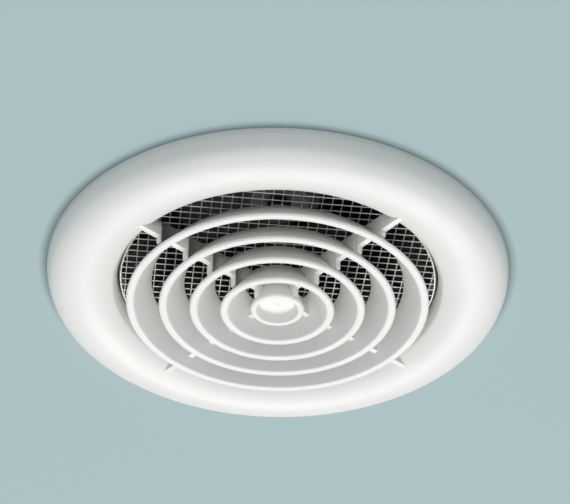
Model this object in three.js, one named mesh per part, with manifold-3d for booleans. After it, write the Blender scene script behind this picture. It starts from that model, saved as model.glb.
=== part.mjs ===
// Round ceiling extractor fan for a 100 mm duct. Millimetres, +Z up into the ceiling void.
// The origin is the centre of the cut-out, on the face of the ceiling; the grille hangs below it.
import * as THREE from "three";
import { mergeVertices } from "three/addons/utils/BufferGeometryUtils.js";
import Module from "manifold-3d";

const wasm = await Module();
wasm.setup();

// ---- Driving dimensions ------------------------------------------------------------------------

const GAP = 0.3; // clearance left between two pieces that touch
const FINE = 44; // facets round the fascia
const LOUVRE = 36; // facets round the louvres and the screen
const ROUND = 36; // facets round the housing and the duct parts
const SMALL = 20; // facets round the motor parts
const TINY = 10; // facets round screws and bushes

const fascia = {
  radius: 90,
  wall: 2.2,
  collarInner: 62.7,
  collarOuter: 64.5,
  collarBottom: -4.9,
  collarTop: 10,
};

// The face of the fascia from the ceiling, over its crest and in to the collar, as radius and height.
const FASCIA_FACE = [
  [90, 0],
  [89.5, -3.6],
  [87.6, -7.5],
  [83.5, -10.6],
  [78, -12],
  [73, -11.8],
  [68.5, -10.2],
  [64.5, -7.7],
  [63.3, -5.9],
];

const louvre = {
  frontRadii: [58.7, 46, 34.1, 22.2],
  frontZ: [-14.5, -15.3, -16, -16.5],
  flare: 8.5,
  backZ: -3.5,
  rimWidth: 3.6,
  rimRise: 0.9,
  backWall: 1.4,
};

const hub = { radius: 10.4, frontZ: -15.7, backRadius: 6.6, dishRadius: 8.1, floorRadius: 6.9, dishZ: -12.1 };
const spoke = {
  count: 4,
  angle: 41,
  thickness: 2.4,
  frontZ: -10.4,
  inner: 2,
  stepOut: 0.6,
  stepIn: 2,
  stepRise: 1,
};

// The outer end of a spoke, from its back to its front, a small clearance inside the fascia's face.
const SPOKE_END = [
  [62.3, -5],
  [62.8, -6],
  [64.1, -8.1],
  [67.7, -10.4],
];

const screen = {
  radius: 61.9,
  rim: 1,
  bottomZ: -2.9,
  topZ: -1.9,
  pitch: 3.7,
  wire: 0.45,
  layer: 0.4,
  layerBottoms: [-2.85, -2.35],
  turn: 5.6,
};
const retainer = { inner: 61.2, bottomZ: -1.6, topZ: 0.8 };

const clip = { count: 3, first: 90, width: 8, sheet: 0.5 };

// The middle of a clip's spring strip: over the collar, out to its grip on the housing, and back.
const CLIP_LINE = [
  [62.1, 4.5],
  [62.1, 10.6],
  [65.1, 10.6],
  [67.7, 7.4],
  [69, 5.6],
  [67.7, 3.8],
  [65.6, 0.6],
];

const housing = {
  flangeRadius: 84,
  flangeBottom: -3.8,
  flangeTop: -1.8,
  bodyRadius: 72,
  wall: 2,
  shoulderZ: 14,
  throatZ: 34,
  throatRadius: 48,
  jointRadius: 55.2,
  jointZ: 56,
  jointSheet: 2,
};
const foot = { x0: 61, x1: 69, y: 11.5, thickness: 3, bottomZ: 15.9 };
const ceilingScrew = {
  count: 4,
  angle: 45,
  pitchRadius: 78,
  radius: 1.9,
  head: 4.2,
  headHeight: 2.4,
  length: 30,
};
const spigot = { inner: 47.5, outer: 49.5, topZ: 112, seatInner: 45.5, seatBottom: 90.3, seatTop: 95.2 };
const bead = { z: 107, width: 2, rise: 0.6 };
const jointScrew = {
  count: 3,
  angle: 60,
  pitchRadius: 52.7,
  radius: 1.2,
  head: 2.1,
  headHeight: 1.6,
  length: 8,
};
const screwPlay = 0.4; // how much wider than its screw each clear hole is, on the radius

const pin = { z: 97.4, radius: 1, reach: 48.4 };
const flap = {
  radius: 47,
  sheet: 1.2,
  bottomZ: 95.5,
  knuckle: 2.3,
  bore: 1.3,
  notch: 3,
  knuckles: 6,
  span: 84,
};

const motor = { radius: 22, wall: 1.2, floor: 1.5, mouth: 6, bottomZ: 57.5, canTop: 79.5, capTop: 82.3 };
const shaft = { radius: 2, bottomZ: 34.6, topZ: 81.4 };
const winding = { inner: 14, bottomZ: 60, topZ: 78.5 };
const rotor = { radius: 13.4, bottomZ: 62.5, topZ: 76.5 };
const bearing = { radius: 5.7, height: 3.5, frontZ: 57.8, rearZ: 78.5 };
const bracket = {
  ringOuter: 47.2,
  ringInner: 45.7,
  ringBottom: 76,
  ringTop: 90,
  vanes: 4,
  vaneAngle: 45,
  vane: 2,
};
const plate = { inner: 6.5, radius: 23, bottomZ: 85, topZ: 87.5, bushHole: 3.2 };
const bush = { bore: 1.6, waist: 2.9, flange: 4.6, topZ: 90 };
const motorLead = { z: 61, radius: 1.8, entry: 2.4 };
const mountScrew = { count: 3, pitchRadius: 14, radius: 1.3, head: 3, headHeight: 2, length: 10 };
const impeller = { blades: 7, tipRadius: 46.3, hubRadius: 18, hubWall: 2, bottomZ: 37.5, midZ: 46, topZ: 54 };
const blade = { sheet: 1.6, camber: 0.07, rootChord: 22, tipChord: 29, rootStagger: 43, tipStagger: 24 };
const nut = { radius: 5, bottomZ: 33.8, topZ: 37.2 };

const box = { x0: 55.8, x1: 71, halfWidth: 17, z0: 22.2, z1: 68.2, wall: 1.5 };
const cover = { x0: box.x1 + GAP, x1: box.x1 + 2 };
const coverScrew = { radius: 1.1, head: 2.2, headHeight: 1.4, length: 9, hole: 1.4, boss: 2.4, inset: 4.2 };
const gland = { x: 63.4, bore: 3.5, thread: 5, flange: 7, clamp: 5.2, capBore: 5.5 };
const glandSeal = { radius: 5.1, bottomZ: box.z1 + 8.1, topZ: box.z1 + 9.9 };
const locknut = { bottomZ: box.z1 - 3.6, topZ: box.z1 - 1.8 };

// Heights on the gland: the end of its thread inside the box, then upwards from the box's top.
const GLAND_HEIGHTS = {
  threadEnd: box.z1 - 4.4,
  flangeBottom: box.z1 + GAP,
  flangeTop: box.z1 + 3.3,
  bodyTop: box.z1 + 7.8,
  capBottom: box.z1 + 3.6,
  capShoulder: box.z1 + 9.3,
  capSeat: box.z1 + 10.2,
  capTop: box.z1 + 12.4,
};
const board = { x0: 57.9, x1: 59.3, halfWidth: 12.5, z0: 29, z1: 55 };
const terminals = { sides: [-8, 0, 8], x: 63.5, x1: 68, z: 43, z0: 38, z1: 48.5, wireHole: 1.8, screw: 1.8 };
const capacitor = { radius: 3.4, y0: -4, y1: 11.5, z: 33 };
const trimmer = { y: -8.5, z: 33, radius: 2.8, x1: 63.5, slot: 0.8 };

// Where the cover's two screws stand, as Y and Z, in opposite corners of the box.
const BOSSES = [
  [12.8, box.z0 + coverScrew.inset],
  [-12.8, box.z1 - coverScrew.inset],
];

// ---- Materials ---------------------------------------------------------------------------------

const material = (color, roughness, metalness) => () =>
  new THREE.MeshStandardMaterial({ color, roughness, metalness });
const whitePlastic = material(0xf2f0ec, 0.42, 0);
const darkPlastic = material(0x17171a, 0.5, 0);
const greyPlastic = material(0x4b4e52, 0.55, 0);
const brightWire = material(0xc9c7c2, 0.35, 0.9);
const springSteel = material(0xb6b8ba, 0.3, 1);
const zincSteel = material(0xc4c2bb, 0.38, 1);
const motorSteel = material(0x8d9093, 0.45, 1);
const copper = material(0xb26a3c, 0.4, 1);
const sinteredBronze = material(0xa5814e, 0.5, 1);
const foam = material(0x2c2d2f, 0.95, 0);
const rubber = material(0x1d1d1e, 0.85, 0);
const circuitGreen = material(0x1f5a3a, 0.5, 0);
const nylonWhite = material(0xe6e3da, 0.5, 0);
const brass = material(0xc6a24f, 0.35, 1);

// ---- Geometry helpers --------------------------------------------------------------------------

const radians = (degrees) => (degrees * Math.PI) / 180;

// A closed three.js geometry as a solid that can be joined and cut.
function solid(geometry) {
  const bare = geometry.clone();
  bare.deleteAttribute("normal");
  bare.deleteAttribute("uv");
  const merged = mergeVertices(bare, 1e-4);
  return new wasm.Manifold(
    new wasm.Mesh({
      numProp: 3,
      vertProperties: new Float32Array(merged.attributes.position.array),
      triVerts: new Uint32Array(merged.index.array),
    }),
  );
}

// The solid's surface as a three.js geometry.
function surface(made) {
  const mesh = made.getMesh();
  const geometry = new THREE.BufferGeometry();
  geometry.setAttribute("position", new THREE.BufferAttribute(mesh.vertProperties, 3));
  geometry.setIndex(new THREE.BufferAttribute(mesh.triVerts, 1));
  geometry.computeVertexNormals();
  return geometry;
}

const joined = (...geometries) => geometries.map(solid).reduce((a, b) => a.add(b));
const cut = (body, ...tools) => tools.map(solid).reduce((a, b) => a.subtract(b), body);

// A body of revolution about Z from an outline of [radius, height] points, listed either way round.
function revolved(outline, facets = ROUND) {
  const area = outline.reduce((sum, [r, z], i) => {
    const [nextR, nextZ] = outline[(i + 1) % outline.length];
    return sum + r * nextZ - nextR * z;
  }, 0);
  const onAxis = outline[0][0] === 0 && outline.at(-1)[0] === 0;
  const loop = onAxis ? [...outline] : [...outline, outline[0]];
  if (area < 0) loop.reverse();
  const points = loop.map(([r, z]) => new THREE.Vector2(r, z));
  return new THREE.LatheGeometry(points, facets).rotateX(Math.PI / 2);
}

// A ring with a rectangular section.
const ring = (inner, outer, bottom, top, facets = ROUND) =>
  revolved([[inner, bottom], [outer, bottom], [outer, top], [inner, top]], facets);

// A plain round bar standing on Z.
const bar = (radius, bottom, top, facets = TINY) =>
  new THREE.CylinderGeometry(radius, radius, top - bottom, facets)
    .rotateX(Math.PI / 2)
    .translate(0, 0, (bottom + top) / 2);

// A hexagonal nut with a round bore.
const hexNut = (bore, outer, bottom, top) =>
  cut(solid(bar(outer, bottom, top, 6)), bar(bore, bottom - 1, top + 1, SMALL));

const block = (x0, x1, y0, y1, z0, z1) =>
  new THREE.BoxGeometry(x1 - x0, y1 - y0, z1 - z0).translate((x0 + x1) / 2, (y0 + y1) / 2, (z0 + z1) / 2);

// A plate cut to an outline of [radius, height] points, standing on edge along +X.
function radialPlate(outline, thickness) {
  const shape = new THREE.Shape(outline.map(([r, z]) => new THREE.Vector2(r, z)));
  return new THREE.ExtrudeGeometry(shape, { depth: thickness, bevelEnabled: false, curveSegments: 1 })
    .translate(0, 0, -thickness / 2)
    .rotateX(Math.PI / 2);
}

// An outline moved sideways by a distance, to the left of its direction of travel.
function offset(points, distance) {
  return points.map(([r, z], i) => {
    const [r0, z0] = points[Math.max(i - 1, 0)];
    const [r1, z1] = points[Math.min(i + 1, points.length - 1)];
    const length = Math.hypot(r1 - r0, z1 - z0);
    return [r - ((z1 - z0) / length) * distance, z + ((r1 - r0) / length) * distance];
  });
}

// A quarter of an ellipse about [r, z], from the throat side down to the underside.
const quarter = (r, z, radial, axial, steps) =>
  Array.from({ length: steps + 1 }, (_, i) => {
    const angle = (Math.PI / 2) * (i / steps);
    return [r - radial * Math.cos(angle), z - axial * Math.sin(angle)];
  });

// Angles of evenly spaced copies, in radians.
const turns = (count, first = 0) =>
  Array.from({ length: count }, (_, i) => radians(first) + (2 * Math.PI * i) / count);

const polar = (radius, angle) => [radius * Math.cos(angle), radius * Math.sin(angle)];

// Plain bars laid along X and along Y.
const alongX = (radius, x0, x1, y, z, facets = TINY) =>
  bar(radius, x0, x1, facets).rotateY(Math.PI / 2).translate(0, y, z);
const alongY = (radius, y0, y1, z) => bar(radius, -y1, -y0).rotateX(Math.PI / 2).translate(0, 0, z);

// A ring of clear holes for a set of screws.
const screwHoles = ({ count, angle = 0, pitchRadius, radius }, bottom, top) =>
  turns(count, angle).map((turn) => {
    const hole = bar(radius + screwPlay, bottom, top);
    return hole.translate(pitchRadius, 0, 0).rotateZ(turn);
  });

const fan = new THREE.Group();

// Adds one named sub-part, from a geometry or a solid.
function add(name, shape, paint, { radius = 0, angle = 0, x = 0 } = {}) {
  const geometry = shape.isBufferGeometry ? shape : surface(shape);
  const mesh = new THREE.Mesh(geometry, paint());
  const [px, py] = polar(radius, angle);
  mesh.name = name;
  mesh.position.set(px + x, py, 0);
  mesh.rotation.z = angle;
  fan.add(mesh);
}

// A slotted screw on Z: its head from seat down to seat - headHeight, its shank above.
function hangingScrew(radius, head, headHeight, seat, length) {
  const outline = [
    [0, seat - headHeight],
    [head * 0.6, seat - headHeight],
    [head, seat - headHeight * 0.45],
    [head, seat],
    [radius, seat],
    [radius, seat + length - 2 * radius],
    [0, seat + length],
  ];
  const bottom = seat - headHeight;
  const slot = block(-head * 1.1, head * 1.1, -head * 0.12, head * 0.12, bottom - 1, bottom + headHeight / 2);
  return cut(solid(revolved(outline, TINY)), slot);
}

// The same screw turned over, so that its head is above the seat.
const standingScrew = (radius, head, headHeight, seat, length) =>
  surface(hangingScrew(radius, head, headHeight, 0, length)).rotateX(Math.PI).translate(0, 0, seat);

// ---- Fascia: ring, louvres, insect screen and its clips -----------------------------------------

function fasciaRing() {
  const face = new THREE.SplineCurve(FASCIA_FACE.map(([r, z]) => new THREE.Vector2(r, z)))
    .getPoints(11)
    .map((point) => [point.x, point.y]);
  const inside = offset(face, -fascia.wall)
    .filter(([r, z]) => r > fascia.collarOuter + 2 && z < -1)
    .reverse();
  return revolved(
    [
      ...face,
      [fascia.collarInner, fascia.collarBottom],
      [fascia.collarInner, fascia.collarTop],
      [fascia.collarOuter, fascia.collarTop],
      [fascia.collarOuter, fascia.collarBottom - 0.5],
      ...inside,
      [fascia.radius - fascia.wall, 0],
    ],
    FINE,
  );
}

// One flaring louvre: a thin cone that opens downwards and ends in a wide rounded rim.
function louvreRing(front, frontZ) {
  const back = front - louvre.flare;
  return revolved(
    [
      [back, louvre.backZ],
      [front, frontZ + louvre.rimRise],
      [front - 0.8, frontZ],
      [front - louvre.rimWidth + 1, frontZ + 0.1],
      [front - louvre.rimWidth, frontZ + 1.1],
      [back - louvre.backWall, louvre.backZ],
    ],
    LOUVRE,
  );
}

// The middle of the louvres: a solid cone with a dished face.
function louvreHub() {
  return revolved(
    [
      [0, louvre.backZ],
      [hub.backRadius, louvre.backZ],
      [hub.radius, hub.frontZ + louvre.rimRise],
      [hub.radius - 0.8, hub.frontZ],
      [hub.dishRadius + 0.4, hub.frontZ],
      [hub.dishRadius, hub.frontZ + 0.5],
      [hub.floorRadius, hub.dishZ],
      [0, hub.dishZ],
    ],
    SMALL,
  );
}

// A spoke carries all the louvres. Its front edge is set back, and steps down to each rim.
function spokeOutline() {
  const outline = [[spoke.inner, louvre.backZ], [SPOKE_END[0][0], louvre.backZ], ...SPOKE_END];
  const fronts = [...louvre.frontRadii, hub.radius];
  const heights = [...louvre.frontZ, hub.frontZ];
  fronts.forEach((front, i) => {
    const share = (louvre.backZ - spoke.frontZ) / (louvre.backZ - heights[i] - louvre.rimRise);
    const insideWall = front - louvre.flare * (1 - share) - louvre.backWall / 2;
    outline.push([front + spoke.stepOut, spoke.frontZ]);
    outline.push([front + spoke.stepOut, heights[i] + spoke.stepRise]);
    outline.push([front - spoke.stepIn, heights[i] + spoke.stepRise]);
    outline.push([insideWall, spoke.frontZ]);
  });
  outline.push([spoke.inner, spoke.frontZ]);
  return outline;
}

function louvreCore() {
  const rings = louvre.frontRadii.map((front, i) => louvreRing(front, louvre.frontZ[i]));
  const plate = radialPlate(spokeOutline(), spoke.thickness);
  const spokes = turns(spoke.count, spoke.angle).map((angle) => plate.clone().rotateZ(angle));
  return joined(louvreHub(), ...rings, ...spokes);
}

// Straight wires in two layers that cross each other, all ending in the rim.
function insectScreen() {
  const { radius, bottomZ, topZ, layerBottoms } = screen;
  const rim = ring(radius - screen.rim, radius, bottomZ, topZ, LOUVRE);
  const reach = radius - screen.rim / 2;
  const count = Math.floor((reach - 1) / screen.pitch);
  const wires = [];
  for (let i = -count; i <= count; i += 1) {
    const across = i * screen.pitch;
    const half = Math.sqrt(reach * reach - across * across);
    const wire = block(-half, half, across - screen.wire / 2, across + screen.wire / 2, 0, screen.layer);
    wires.push(wire.clone().translate(0, 0, layerBottoms[0]));
    wires.push(wire.rotateZ(Math.PI / 2).translate(0, 0, layerBottoms[1]));
  }
  return surface(joined(rim, ...wires)).rotateZ(radians(screen.turn));
}

// A spring strip hooked over the collar, bowed out to grip the inside of the housing.
function fasciaClip() {
  const outline = [...offset(CLIP_LINE, clip.sheet / 2), ...offset(CLIP_LINE, -clip.sheet / 2).reverse()];
  return radialPlate(outline, clip.width);
}

function addFascia() {
  add("fascia_ring", fasciaRing(), whitePlastic);
  add("louvre_core", louvreCore(), whitePlastic);
  add("insect_screen", insectScreen(), brightWire);
  const keeper = ring(retainer.inner, fascia.collarInner - GAP, retainer.bottomZ, retainer.topZ, LOUVRE);
  add("screen_retainer", keeper, darkPlastic);
  turns(clip.count, clip.first).forEach((angle, i) => {
    add(`fascia_clip_${i + 1}`, fasciaClip(), springSteel, { angle });
  });
}

// ---- Housing, ceiling seal and outlet spigot ------------------------------------------------------

function housingShell() {
  const { bodyRadius, wall, throatRadius, throatZ, shoulderZ, flangeBottom, flangeTop, jointZ } = housing;
  const inner = bodyRadius - wall;
  const bell = quarter(inner, throatZ, inner - throatRadius, throatZ - shoulderZ, 5);
  const back = quarter(inner, throatZ, inner - throatRadius - wall, throatZ - shoulderZ - wall, 5);
  const shell = revolved([
    [inner, flangeBottom],
    ...bell.reverse(),
    [throatRadius, jointZ],
    [housing.jointRadius, jointZ],
    [housing.jointRadius, jointZ - housing.jointSheet],
    [throatRadius + wall, jointZ - housing.jointSheet],
    ...back,
    [bodyRadius, shoulderZ + wall],
    [bodyRadius, flangeTop],
    [housing.flangeRadius, flangeTop],
    [housing.flangeRadius, flangeBottom],
  ]);
  const feet = [-foot.y, foot.y].map((y) =>
    block(foot.x0, foot.x1, y - foot.thickness / 2, y + foot.thickness / 2, foot.bottomZ, box.z0 - GAP),
  );
  const ceilingHoles = screwHoles(ceilingScrew, flangeBottom - 1, flangeTop + 1);
  const jointHoles = screwHoles(jointScrew, jointZ - housing.jointSheet - 1, jointZ + 1);
  return cut(joined(shell, ...feet), ...ceilingHoles, ...jointHoles);
}

function ceilingGasket() {
  const bottom = housing.flangeTop + GAP;
  const seal = ring(housing.bodyRadius + 2 * GAP, housing.flangeRadius, bottom, 0);
  return cut(solid(seal), ...screwHoles(ceilingScrew, bottom - 1, 1));
}

function outletSpigot() {
  const bottom = housing.jointZ + GAP;
  const flangeTop = bottom + housing.jointSheet;
  const shell = revolved([
    [spigot.inner, bottom],
    [housing.jointRadius, bottom],
    [housing.jointRadius, flangeTop],
    [spigot.outer, flangeTop],
    [spigot.outer, bead.z - bead.width / 2],
    [spigot.outer + bead.rise, bead.z],
    [spigot.outer, bead.z + bead.width / 2],
    [spigot.outer, spigot.topZ],
    [spigot.inner, spigot.topZ],
    [spigot.inner, spigot.seatTop],
    [spigot.seatInner, spigot.seatTop],
    [spigot.seatInner, spigot.seatBottom + 2],
    [spigot.inner, spigot.seatBottom],
  ]);
  const reach = spigot.outer + 5;
  const pinHole = alongY(pin.radius + GAP, -reach, reach, pin.z);
  const leadHole = alongX(motorLead.radius + screwPlay, spigot.inner - 5, reach, 0, motorLead.z);
  return cut(solid(shell), ...screwHoles(jointScrew, bottom - 1, flangeTop + 1), pinHole, leadHole);
}

function addHousing() {
  add("housing", housingShell(), darkPlastic);
  add("ceiling_gasket", ceilingGasket(), foam);
  add("outlet_spigot", outletSpigot(), darkPlastic);
  const ceilingSeat = housing.flangeBottom - GAP;
  turns(ceilingScrew.count, ceilingScrew.angle).forEach((angle, i) => {
    const { radius, head, headHeight, length, pitchRadius } = ceilingScrew;
    const screw = hangingScrew(radius, head, headHeight, ceilingSeat, length);
    add(`ceiling_screw_${i + 1}`, screw, zincSteel, { radius: pitchRadius, angle });
  });
  const jointSeat = housing.jointZ + housing.jointSheet + 2 * GAP;
  turns(jointScrew.count, jointScrew.angle).forEach((angle, i) => {
    const { radius, head, headHeight, length, pitchRadius } = jointScrew;
    const screw = standingScrew(radius, head, headHeight, jointSeat, length);
    add(`spigot_screw_${i + 1}`, screw, zincSteel, { radius: pitchRadius, angle });
  });
}

// ---- Backdraught flaps ------------------------------------------------------------------------------

// A half disc on the +X side of the pin, with every other knuckle; it swings up with the air.
function backdraughtFlap() {
  const { radius, sheet, bottomZ, notch, knuckles, span } = flap;
  const pitch = span / knuckles;
  const outline = new THREE.Shape();
  const edge = Math.asin(notch / radius);
  outline.absarc(0, 0, radius, -Math.PI / 2 + edge, Math.PI / 2 - edge, false);
  outline.closePath();
  const disc = new THREE.ExtrudeGeometry(outline, { depth: sheet, bevelEnabled: false, curveSegments: 14 })
    .translate(0, 0, bottomZ);
  const hinge = [];
  for (let i = 0; i < knuckles; i += 2) {
    const y0 = -span / 2 + i * pitch + GAP;
    const y1 = y0 + pitch - 2 * GAP;
    hinge.push(block(0, notch + 1, y0, y1, bottomZ, bottomZ + sheet));
    hinge.push(alongY(flap.knuckle, y0, y1, pin.z));
  }
  return cut(joined(disc, ...hinge), alongY(flap.bore, -span, span, pin.z));
}

function addFlaps() {
  add("flap_pin", alongY(pin.radius, -pin.reach, pin.reach, pin.z), springSteel);
  add("flap_right", backdraughtFlap(), greyPlastic);
  add("flap_left", backdraughtFlap(), greyPlastic, { angle: Math.PI });
}

// ---- Motor, its bracket and the impeller ----------------------------------------------------------------

function motorCan() {
  const { radius, wall, floor, mouth, bottomZ, canTop } = motor;
  return revolved(
    [
      [mouth, bottomZ],
      [radius - 1, bottomZ],
      [radius, bottomZ + 1],
      [radius, canTop],
      [radius - wall, canTop],
      [radius - wall, bottomZ + floor],
      [mouth, bottomZ + floor],
    ],
    SMALL,
  );
}

function motorEndCap() {
  const bottom = motor.canTop + GAP;
  const cap = revolved(
    [
      [motor.mouth, bottom],
      [motor.radius, bottom],
      [motor.radius, motor.capTop - 0.8],
      [motor.radius - 0.8, motor.capTop],
      [motor.mouth, motor.capTop],
    ],
    SMALL,
  );
  return cut(solid(cap), ...screwHoles(mountScrew, bottom - 1, motor.capTop + 1));
}

// Outer ring, four guide vanes and the plate that the motor hangs from.
function motorBracket() {
  const { ringInner, ringOuter, ringBottom, ringTop, vanes, vaneAngle } = bracket;
  const outer = ring(ringInner, ringOuter, ringBottom, ringTop);
  const disc = ring(plate.inner, plate.radius, plate.bottomZ, plate.topZ, SMALL);
  const vane = radialPlate(
    [
      [plate.radius - 3, plate.bottomZ],
      [plate.radius + 0.5, plate.bottomZ],
      [plate.radius + 0.5, ringBottom + 4],
      [ringInner + 0.5, ringBottom + 1],
      [ringInner + 0.5, ringTop - 1],
      [plate.radius - 3, plate.topZ],
    ],
    bracket.vane,
  );
  const arms = turns(vanes, vaneAngle).map((angle) => vane.clone().rotateZ(angle));
  const bushHoles = { ...mountScrew, radius: plate.bushHole - screwPlay };
  return cut(joined(outer, disc, ...arms), ...screwHoles(bushHoles, plate.bottomZ - 1, plate.topZ + 1));
}

// A rubber bush that grips the bracket's plate between two flanges.
const motorBush = () =>
  revolved(
    [
      [bush.bore, motor.capTop + GAP],
      [bush.flange, motor.capTop + GAP],
      [bush.flange, plate.bottomZ - GAP],
      [bush.waist, plate.bottomZ - GAP],
      [bush.waist, plate.topZ + GAP],
      [bush.flange, plate.topZ + GAP],
      [bush.flange, bush.topZ],
      [bush.bore, bush.topZ],
    ],
    TINY,
  );

// A twisted blade, lofted from hub to tip on the cylinders that its sections lie on.
function impellerBlade() {
  const stations = 4;
  const chordSteps = 4;
  const rootRadius = impeller.hubRadius - 0.7 * impeller.hubWall;
  const positions = [];
  const indices = [];
  const around = 2 * (chordSteps + 1);
  for (let s = 0; s < stations; s += 1) {
    const share = s / (stations - 1);
    const radius = THREE.MathUtils.lerp(rootRadius, impeller.tipRadius, share);
    const chord = THREE.MathUtils.lerp(blade.rootChord, blade.tipChord, share);
    const stagger = radians(THREE.MathUtils.lerp(blade.rootStagger, blade.tipStagger, share));
    for (let k = 0; k < around; k += 1) {
      const upper = k <= chordSteps;
      const along = upper ? k / chordSteps : (around - 1 - k) / chordSteps;
      const camber = blade.camber * chord * Math.sin(Math.PI * along);
      const thickness = (blade.sheet / 2) * (0.45 + 0.55 * Math.sin(Math.PI * along));
      const u = (along - 0.5) * chord;
      const v = camber + (upper ? thickness : -thickness);
      const tangent = u * Math.cos(stagger) - v * Math.sin(stagger);
      const height = u * Math.sin(stagger) + v * Math.cos(stagger);
      const [x, y] = polar(radius, tangent / radius);
      positions.push(x, y, impeller.midZ + height);
    }
  }
  for (let s = 0; s < stations - 1; s += 1) {
    for (let k = 0; k < around; k += 1) {
      const a = s * around + k;
      const b = s * around + ((k + 1) % around);
      indices.push(a, a + around, b, b, a + around, b + around);
    }
  }
  for (let k = 0; k < chordSteps; k += 1) {
    const mirror = around - 1 - k;
    const tip = (stations - 1) * around;
    indices.push(k, k + 1, mirror, mirror, k + 1, mirror - 1);
    indices.push(tip + k, tip + mirror, tip + k + 1, tip + mirror, tip + mirror - 1, tip + k + 1);
  }
  const geometry = new THREE.BufferGeometry();
  geometry.setAttribute("position", new THREE.Float32BufferAttribute(positions, 3));
  geometry.setIndex(indices);
  return geometry;
}

// The hub is a cup open to the motor, with a boss on the shaft.
function impellerBody() {
  const { hubRadius, hubWall, bottomZ, topZ } = impeller;
  const bore = shaft.radius + GAP;
  const cup = revolved([
    [bore, bottomZ],
    [12, bottomZ + 0.5],
    [hubRadius - 1, bottomZ + 3.5],
    [hubRadius, bottomZ + 7.5],
    [hubRadius, topZ],
    [hubRadius - hubWall, topZ],
    [hubRadius - hubWall, bottomZ + 8.5],
    [14, bottomZ + 5],
    [5, bottomZ + 3.5],
    [5, topZ - 1],
    [bore, topZ - 1],
  ]);
  const single = impellerBlade();
  const blades = turns(impeller.blades).map((angle) => single.clone().rotateZ(angle));
  return joined(cup, ...blades);
}

function addMotor() {
  const bore = shaft.radius + GAP;
  const sleeve = (bottom) => ring(bore, bearing.radius, bottom, bottom + bearing.height, SMALL);
  const coil = ring(winding.inner, motor.radius - motor.wall - GAP, winding.bottomZ, winding.topZ, SMALL);
  const lead = alongX(motorLead.radius, motor.radius + GAP, box.x0 + motorLead.entry, 0, motorLead.z);
  add("motor_can", motorCan(), motorSteel);
  add("motor_end_cap", motorEndCap(), motorSteel);
  add("stator_winding", coil, copper);
  add("front_bearing", sleeve(bearing.frontZ), sinteredBronze);
  add("rear_bearing", sleeve(bearing.rearZ), sinteredBronze);
  add("motor_bracket", motorBracket(), darkPlastic);
  add("motor_lead", lead, greyPlastic);
  turns(mountScrew.count).forEach((angle, i) => {
    const { radius, head, headHeight, length, pitchRadius } = mountScrew;
    const screw = standingScrew(radius, head, headHeight, bush.topZ + GAP, length);
    add(`motor_bush_${i + 1}`, motorBush(), rubber, { radius: pitchRadius, angle });
    add(`motor_screw_${i + 1}`, screw, zincSteel, { radius: pitchRadius, angle });
  });
  add("impeller", impellerBody(), darkPlastic);
  add("impeller_nut", hexNut(bore, nut.radius, nut.bottomZ, nut.topZ), darkPlastic);
  add("rotor", ring(bore, rotor.radius, rotor.bottomZ, rotor.topZ, SMALL), motorSteel);
  add("rotor_shaft", bar(shaft.radius, shaft.bottomZ, shaft.topZ, SMALL), springSteel);
}

// ---- Terminal box, its contents and the cable gland -----------------------------------------------------

function terminalBox() {
  const { x0, x1, halfWidth, z0, z1, wall } = box;
  const shell = cut(
    solid(block(x0, x1, -halfWidth, halfWidth, z0, z1)),
    block(x0 + wall, x1 + 1, wall - halfWidth, halfWidth - wall, z0 + wall, z1 - wall),
  );
  const bosses = BOSSES.map(([y, z]) => alongX(coverScrew.boss, x0 + wall / 2, x1, y, z));
  const filled = bosses.map(solid).reduce((a, b) => a.add(b), shell);
  const bossHoles = BOSSES.map(([y, z]) => alongX(coverScrew.hole, x0 + 4, x1 + 1, y, z));
  const glandHole = bar(gland.thread + GAP, z1 - 2 * wall, z1 + 1, SMALL).translate(gland.x, 0, 0);
  const leadHole = alongX(motorLead.radius + screwPlay, x0 - 1, x0 + 2 * wall, 0, motorLead.z);
  return cut(filled, ...bossHoles, glandHole, leadHole);
}

function terminalCover() {
  const lid = solid(block(cover.x0, cover.x1, -box.halfWidth, box.halfWidth, box.z0, box.z1));
  return cut(lid, ...BOSSES.map(([y, z]) => alongX(coverScrew.hole, cover.x0 - 1, cover.x1 + 1, y, z)));
}

// A strip of insulator with a way for each core and, across it, a way for its clamping screw.
function terminalBlock() {
  const { sides, x, x1, z, z0, z1, wireHole, screw } = terminals;
  const body = solid(block(board.x1 + GAP, x1, -board.halfWidth, board.halfWidth, z0, z1));
  const wireWays = sides.map((y) => bar(wireHole, z0 + 3, z1 + 1).translate(x, y, 0));
  const screwWays = sides.map((y) => alongX(screw + screwPlay, x + 2.1, x1 + 1, y, z));
  return cut(body, ...wireWays, ...screwWays);
}

function overrunTrimmer() {
  const { radius, x1, y, z, slot } = trimmer;
  const knob = solid(alongX(radius, board.x1 + GAP, x1, y, z));
  return cut(knob, block(x1 - 0.9, x1 + 1, y - 2, y + 2, z - slot / 2, z + slot / 2));
}

// The gland screws into the box's top; its body, seal and cap are stacked on that face.
function glandBody() {
  const { threadEnd, flangeBottom, flangeTop, bodyTop } = GLAND_HEIGHTS;
  return revolved(
    [
      [gland.bore, threadEnd],
      [gland.thread, threadEnd],
      [gland.thread, flangeBottom],
      [gland.flange, flangeBottom],
      [gland.flange, flangeTop],
      [gland.clamp, flangeTop],
      [gland.clamp, bodyTop],
      [gland.bore, bodyTop],
    ],
    SMALL,
  );
}

function glandCap() {
  const { capBottom, capShoulder, capSeat, capTop } = GLAND_HEIGHTS;
  return revolved(
    [
      [gland.capBore, capBottom],
      [gland.flange, capBottom],
      [gland.flange, capShoulder],
      [gland.thread, capTop],
      [gland.bore, capTop],
      [gland.bore, capSeat],
      [gland.capBore, capSeat],
    ],
    TINY,
  );
}

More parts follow.
